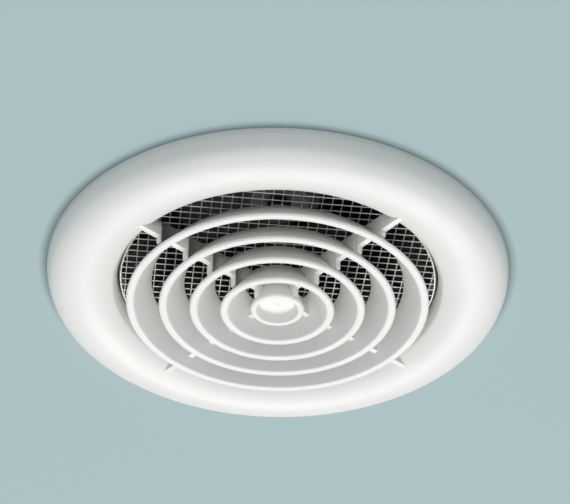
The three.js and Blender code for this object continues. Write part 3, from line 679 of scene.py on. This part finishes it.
def backdraught_flap(name, node, body, angle):
    """A half disc with stiffening ribs, hinged by every other knuckle on the common pin."""
    radius, bottom, sheet = FLAP
    edge = math.asin(3 / radius)
    arc = [-math.pi / 2 + edge + (math.pi - 2 * edge) * k / 60 for k in range(61)]
    plate = moved(extrude([(radius * math.cos(a), radius * math.sin(a)) for a in arc], sheet, 0.25),
                  Matrix.Translation((0, 0, bottom + sheet / 2)))
    pitch = KNUCKLE_SPAN / KNUCKLES
    joins = []
    for i in range(0, KNUCKLES, 2):
        y0 = -KNUCKLE_SPAN / 2 + i * pitch + GAP
        y1 = y0 + pitch - 2 * GAP
        joins.append(block(0.4, 4, y0, y1, bottom, bottom + sheet, 0))
        joins.append(along_y(rod(2.3, y0, y1, 0.3), PIN_Z))
    for y in (-24, 0, 24):
        reach = math.sqrt((radius - 3) ** 2 - y * y)
        joins.append(block(5, reach, y - 0.5, y + 0.5, bottom + 0.6, bottom + sheet + 1.4, 0.3, 2))
    mesh = combined(plate, joins=joins, cuts=[along_y(hole(PIN_HOLE, -60, 60), PIN_Z)])
    mesh.transform(Matrix.Rotation(math.radians(angle), 4, "Z"))
    piece(name, mesh, GREY, body, "grey_plastic", node)


def flaps():
    backdraught_flap("right_shutter", "flap_right", "right_flap", 0)
    backdraught_flap("left_shutter", "flap_left", "left_flap", 180)
    reach = high("flap_pin").y
    piece("hinge_pin", along_y(rod(1, -reach, reach, 0.35, 32), PIN_Z), SPRING, "fan_body", "spring_steel",
          "flap_pin")


# ---- Motor and impeller --------------------------------------------------------------------------

def motor_parts():
    can = [(6, 57.5, 0.3), (22, 57.5, 1.6), (22, 79.5, 0.2), (20.8, 79.5, 0.2), (20.8, 59, 0.6), (6, 59, 0.2)]
    cap = [(6, 79.8, 0.2), (22, 79.8, 0.2), (22, 82.3, 0.9), (17, 82.3, 0), (6, 82.3, 0.3)]
    screw_holes = [at(MOTOR_SCREWS[0], a, hole(MOTOR_SCREWS[1], 78, 84)) for a in turns(3)]
    piece("motor_shell", revolve(rounded(can)), STEEL, "fan_body", "motor_steel", "motor_can")
    piece("motor_cap", combined(revolve(rounded(cap)), cuts=screw_holes), STEEL, "fan_body", "motor_steel",
          "motor_end_cap")
    for name in ("front_bearing", "rear_bearing"):
        bush = ring(2.3, 5.7, low(name).z, high(name).z, 0.35, SMALL)
        piece(f"{name}_bush", bush, BRONZE, "fan_body", "sintered_bronze", name)
    waist, flange = 2.9, 4.6
    bore = MOTOR_SCREWS[1]
    bush = [(bore, 82.6, 0.3), (flange, 82.6, 0.7), (flange, 84.7, 0.5), (waist, 84.7, 0.2),
            (waist, 87.8, 0.2), (flange, 87.8, 0.5), (flange, BUSH_TOP, 0.7), (bore, BUSH_TOP, 0.3)]
    for i, angle in enumerate(turns(3)):
        shape = at(MOTOR_SCREWS[0], angle, revolve(rounded(bush), SMALL))
        piece(f"rubber_bush_{i + 1}", shape, RUBBER, "fan_body", "rubber", f"motor_bush_{i + 1}")
    lead = rod(1.8, low("motor_lead").x, high("motor_lead").x, 0.4, 24)
    piece("motor_cable", along_x(lead, 0, LEAD_Z), GREY, "fan_body", "grey_plastic", "motor_lead")


def motor_bracket():
    """Outer ring and guide vanes that hold the motor's plate in the air stream."""
    outer = ring(45.7, 47.2, 76, 90, 0.4)
    plate = ring(6.5, 23, 85, 87.5, 0.4)
    outline = [(20, 85), (23.5, 85), (23.5, 80), (46.2, 77), (46.2, 89), (20, 87.5)]
    vanes = [at(0, a, radial_plate(outline, 2, 0.5)) for a in turns(4, 45)]
    holes = [at(MOTOR_SCREWS[0], a, hole(3.2, 84, 89)) for a in turns(3)]
    mesh = combined(outer, joins=[plate, *vanes], cuts=holes)
    piece("motor_carrier", mesh, BLACK, "fan_body", "black_plastic", "motor_bracket")


BLADES = 7
BLADE_ROOT = 16.6  # radii of the first and last section of a blade
BLADE_TIP = 46.3
BLADE_Z = 46


def blade(stations=12, chord_steps=10):
    """A twisted aerofoil from hub to tip, laid on the cylinders that it sweeps."""
    bm = bmesh.new()
    loops = []
    for s in range(stations):
        share = s / (stations - 1)
        radius = BLADE_ROOT + (BLADE_TIP - BLADE_ROOT) * share
        chord = 22 + 7 * share
        stagger = math.radians(43 - 19 * share)
        loop = []
        for k in range(2 * chord_steps):
            upper = k <= chord_steps
            along = k / chord_steps if upper else (2 * chord_steps - k) / chord_steps
            rise = 0.07 * chord * math.sin(math.pi * along)
            half = 0.8 * (0.25 + 0.75 * math.sin(math.pi * along))
            if k not in (0, chord_steps):
                rise += half if upper else -half
            u = (along - 0.5) * chord
            across = (u * math.cos(stagger) - rise * math.sin(stagger)) / radius
            height = u * math.sin(stagger) + rise * math.cos(stagger)
            x, y = radius * math.cos(across), radius * math.sin(across)
            loop.append(bm.verts.new((x, y, BLADE_Z + height)))
        loops.append(loop)
    for here, there in zip(loops, loops[1:]):
        for k in range(len(here)):
            j = (k + 1) % len(here)
            bm.faces.new((here[k], there[k], there[j], here[j]))
    bm.faces.new(list(reversed(loops[0])))
    bm.faces.new(loops[-1])
    return bm


def impeller_moulding():
    hub = [(2.3, 37.5, 0.2), (12, 37.8, 3), (17, 40.6, 2.5), (18, 46, 3), (18, 54, 0.5), (16, 54, 0.5),
           (16, 46, 1), (14, 42.5, 1), (5, 41, 0.5), (5, 53, 0.3), (2.3, 53, 0.2)]
    blades = [at(0, a, blade()) for a in turns(BLADES)]
    mesh = combined(revolve(rounded(hub, 5), ROUND), joins=blades)
    piece("impeller_moulding", mesh, BLACK, "rotor_assembly", "black_plastic", "impeller")
    hexagon = [(5 * math.cos(math.radians(a)), 5 * math.sin(math.radians(a))) for a in turns(6)]
    nut = moved(extrude(hexagon, 3.4, 0.35), Matrix.Translation((0, 0, 35.5)))
    piece("shaft_nut", combined(nut, cuts=[hole(2.3, 30, 40)]), BLACK, "rotor_assembly", "black_plastic",
          "impeller_nut")
    shaft = rod(2, low("rotor_shaft").z, high("rotor_shaft").z, 0.4, 32)
    piece("motor_shaft", shaft, SPRING, "rotor_assembly", "spring_steel", "rotor_shaft")
    core = ring(2.3, 13.4, 62.5, 76.5, 0.3, 64)
    piece("rotor_core", core, STEEL, "rotor_assembly", "motor_steel", "rotor")


# ---- Terminal box and gland ----------------------------------------------------------------------

GLAND_X = 63.4
POST_Y = 12.8
POST_INSET = 4.2  # from the box's bottom or top to the middle of a post


def terminal_box():
    """A deep tray for the wiring with two screw posts in it, and its lid with a sunk panel."""
    a, b = low("terminal_box"), high("terminal_box")
    wall = 1.5
    tray = block(a.x, b.x, a.y, b.y, a.z, b.z, 1.1, 4)
    pocket = block(a.x + wall, b.x + 3, a.y + wall, b.y - wall, a.z + wall, b.z - wall, 0.8, 3)
    corners = ((POST_Y, a.z + POST_INSET), (-POST_Y, b.z - POST_INSET))
    posts = [along_x(rod(2.4, a.x + 0.5, b.x - 0.1, 0.2, 32), y, z) for y, z in corners]
    post_holes = [along_x(hole(1.4, a.x + 4, b.x + 1), y, z) for y, z in corners]
    gland_hole = moved(hole(5.3, b.z - 3, b.z + 1), Matrix.Translation((GLAND_X, 0, 0)))
    lead_hole = along_x(hole(LEAD_HOLE, a.x - 1, a.x + 3), 0, LEAD_Z)
    body = combined(tray, cuts=[pocket])
    shell = bmesh.new()
    shell.from_mesh(body)
    mesh = combined(shell, joins=posts, cuts=[*post_holes, gland_hole, lead_hole])
    piece("terminal_tray", mesh, BLACK, "fan_body", "black_plastic", "terminal_box")
    c, d = low("terminal_cover"), high("terminal_cover")
    lid = block(c.x, d.x, c.y, d.y, c.z, d.z, 0.6, 3)
    panel = block(d.x - 0.5, d.x + 1, c.y + 4, d.y - 4, c.z + 8, d.z - 8, 0.2, 2)
    lid_holes = [along_x(hole(1.4, c.x - 1, d.x + 1), y, z) for y, z in corners]
    piece("terminal_lid", combined(lid, cuts=[panel, *lid_holes]), BLACK, "fan_body", "black_plastic",
          "terminal_cover")


def cable_gland():
    """Gland body, its thread left plain, with a sealing ring and ridged cap, on the box's top."""
    top = high("terminal_box").z
    place = Matrix.Translation((GLAND_X, 0, 0))
    body = [(3.5, top - 4.4, 0.2), (5, top - 4.4, 0.3), (5, top + GAP, 0.1), (7, top + GAP, 0.3),
            (7, top + 3.3, 0.5), (5.2, top + 3.3, 0.2), (5.2, top + 7.8, 0.3), (3.5, top + 7.8, 0.2)]
    body = moved(revolve(rounded(body), 64), place)
    piece("gland_body", body, GREY, "fan_body", "grey_plastic", "cable_gland")
    foot = top + 3.6
    cap = [(5.5, foot, 0.2), (6.7, foot, 0.3), (6.7, foot + 5.7, 0.8), (5, foot + 8.8, 0.6),
           (3.5, foot + 8.8, 0.3), (3.5, foot + 6.6, 0.2), (5.5, foot + 6.6, 0.2)]
    ridges = [at(6.6, a, block(-0.4, 0.35, -0.35, 0.35, foot + 0.4, foot + 5.4, 0.15, 2)) for a in turns(20)]
    mesh = combined(revolve(rounded(cap), 80), joins=ridges)
    mesh.transform(place)
    piece("gland_dome", mesh, GREY, "fan_body", "grey_plastic", "gland_cap")
    seal = moved(ring(3.5, 5.1, top + 8.1, top + 9.9, 0.3, SMALL), place)
    piece("gland_grommet", seal, RUBBER, "fan_body", "rubber", "gland_seal")


def inner_parts():
    """Parts shut inside the motor and the terminal box keep their frame shape, under a material."""
    looks = {"stator_winding": COPPER, "control_board": BOARD, "terminal_block": NYLON,
             "overrun_trimmer": NYLON, "run_capacitor": GREY, "gland_locknut": GREY}
    looks.update({f"terminal_screw_{i}": BRASS for i in (1, 2, 3)})
    for node, material in looks.items():
        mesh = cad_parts[node].data
        mesh.materials.clear()
        mesh.materials.append(material)


def screen_keeper():
    """The ring that holds the screen up in the collar."""
    keeper = ring(61.2, COLLAR[0] - GAP, low("screen_retainer").z, high("screen_retainer").z, 0.4, FINE)
    piece("screen_keeper", keeper, BLACK, "fascia_assembly", "black_plastic", "screen_retainer")


# ---- Stage, light and camera ---------------------------------------------------------------------

def stage_material(name, color, painted_glow=(0, 0, 0), one_sided=False, painted_contact_shadow=False):
    """Matt paint, with a painted glow that fills in shadows and can be dimmed in narrow corners as a painted
    shadow.
    """
    material, tree, shader = new_material(name)
    # Painted light: the emission glows so the stage shows no broad shadows and lights what is near it.
    shader.inputs["Emission Color"].default_value = (*painted_glow, 1)
    shader.inputs["Emission Strength"].default_value = 1.0
    if painted_contact_shadow:
        # Painted contact shadow: ambient occlusion, raised to a power, dims the glow in narrow corners.
        corner = tree.nodes.new("ShaderNodeAmbientOcclusion")
        corner.inputs["Distance"].default_value = 0.004
        deepened_shadow = tree.nodes.new("ShaderNodeMath")
        deepened_shadow.operation = "POWER"
        deepened_shadow.inputs[1].default_value = 2.5
        tree.links.new(corner.outputs["AO"], deepened_shadow.inputs[0])
        tree.links.new(deepened_shadow.outputs["Value"], shader.inputs["Emission Strength"])
    tree.links.new(blended(tree, noise(tree, 3, 4), [c * 0.985 for c in color], color),
                   shader.inputs["Base Color"])
    shader.inputs["Roughness"].default_value = 0.85
    if one_sided:
        clear = tree.nodes.new("ShaderNodeBsdfTransparent")
        mix = tree.nodes.new("ShaderNodeMixShader")
        geometry = tree.nodes.new("ShaderNodeNewGeometry")
        tree.links.new(geometry.outputs["Backfacing"], mix.inputs["Fac"])
        tree.links.new(shader.outputs["BSDF"], mix.inputs[1])
        tree.links.new(clear.outputs["BSDF"], mix.inputs[2])
        tree.links.new(mix.outputs["Shader"], tree.nodes["Material Output"].inputs["Surface"])
    return material


def stage_plane(name, z, inner, outer, material, facing_down):
    """A round flat plane with a round hole in it, in metres."""
    bm = bmesh.new()
    sides = 96
    rims = []
    for radius in (inner, outer):
        rims.append([bm.verts.new((radius * math.cos(2 * math.pi * k / sides),
                                   radius * math.sin(2 * math.pi * k / sides), z)) for k in range(sides)])
    for k in range(sides):
        j = (k + 1) % sides
        bm.faces.new((rims[0][k], rims[1][k], rims[1][j], rims[0][j]))
    if facing_down:
        bmesh.ops.reverse_faces(bm, faces=bm.faces)
    mesh = bpy.data.meshes.new(name)
    bm.to_mesh(mesh)
    bm.free()
    made = bpy.data.objects.new(name, mesh)
    bpy.context.scene.collection.objects.link(made)
    mesh.materials.append(material)


def area_light(name, place, aim, size, power, color=(1, 1, 1)):
    lamp = bpy.data.lights.new(name, "AREA")
    lamp.shape = "DISK"
    lamp.size = size
    lamp.energy = power
    lamp.color = color
    made = bpy.data.objects.new(name, lamp)
    made.location = place
    made.rotation_euler = (Vector(aim) - Vector(place)).to_track_quat("-Z", "Y").to_euler()
    bpy.context.scene.collection.objects.link(made)


def stage_and_light():
    # The second colour is a painted glow, light that fills in the shadows on the ceiling.
    paint, painted_glow = (0.15, 0.19, 0.20), (0.25, 0.33, 0.34)
    ceiling_z, floor_z = 0.0001, -1.6
    covered = (FASCIA_FACE[0][0] - 1) * MM
    cut_out = (BODY[1] + 1.5) * MM
    # This ceiling's glow is dimmed next to the fascia's edge to paint a thin contact shadow there.
    ceiling = stage_material("ceiling_paint_and_painted_glow", paint, painted_glow, one_sided=True, painted_contact_shadow=True)
    # The covered ring's painted glow is not dimmed, so it lights the fascia's rim and the seal from above.
    behind = stage_material("covered_paint_and_painted_glow", paint, painted_glow, one_sided=True)
    floor = stage_material("floor_paint", (0.80, 0.80, 0.79))
    stage_plane("ceiling", ceiling_z, covered, 4.0, ceiling, True)
    stage_plane("covered_ceiling", ceiling_z, cut_out, covered, behind, True)
    stage_plane("floor", floor_z, 0.01, 9.0, floor, False)
    world = bpy.data.worlds.new("studio")
    bpy.context.scene.world = world
    world.use_nodes = True
    background = world.node_tree.nodes["Background"]
    background.inputs["Color"].default_value = (0.91, 0.87, 0.855, 1)
    background.inputs["Strength"].default_value = 0.28
    warm = (1, 0.95, 0.94)
    area_light("main_light", (0.12, 0.75, -1.4), (0, 0, 0), 1.5, 20.5, warm)
    area_light("low_fill", (-0.1, -0.6, -1.5), (0, 0, 0), 1.3, 9.5, warm)
    area_light("void_light", (-0.6, -0.9, 1.5), (0, 0, 0.05), 1.4, 42)
    area_light("void_fill", (1.1, 0.9, 1.0), (0, 0, 0.05), 1.4, 22)


CAMERA_DISTANCE = 0.77  # metres from the middle of the ceiling opening
CAMERA_BELOW = 36.58  # degrees below the ceiling plane, seen from that middle
CAMERA_PITCH = 37.36
CAMERA_YAW = 0.25
CAMERA_ROLL = 0.76
CAMERA_LENS = 124.2


def camera():
    """Below the ceiling and in front, looking up at the grille."""
    below, pitch, yaw, roll = map(math.radians, (CAMERA_BELOW, CAMERA_PITCH, CAMERA_YAW, CAMERA_ROLL))
    ahead = Vector((math.sin(yaw) * math.cos(pitch), math.cos(yaw) * math.cos(pitch), math.sin(pitch)))
    right = ahead.cross(Vector((0, 0, 1))).normalized()
    up = right.cross(ahead)
    across = right * math.cos(roll) + up * math.sin(roll)
    over = up * math.cos(roll) - right * math.sin(roll)
    place = Vector((0, -math.cos(below), -math.sin(below))) * CAMERA_DISTANCE
    lens = bpy.data.cameras.new("camera")
    lens.lens = CAMERA_LENS
    made = bpy.data.objects.new("camera", lens)
    made.matrix_world = Matrix.Translation(place) @ Matrix((across, over, -ahead)).transposed().to_4x4()
    bpy.context.scene.collection.objects.link(made)
    bpy.context.scene.camera = made
    bpy.context.scene.view_settings.view_transform = "Standard"


camera()
stage_and_light()
fascia_moulding()
louvre_moulding()
wire_screen()
fascia_clips()
housing_moulding()
ceiling_seal()
spigot_moulding()
all_screws()
flaps()
motor_parts()
motor_bracket()
impeller_moulding()
terminal_box()
cable_gland()
inner_parts()
screen_keeper()
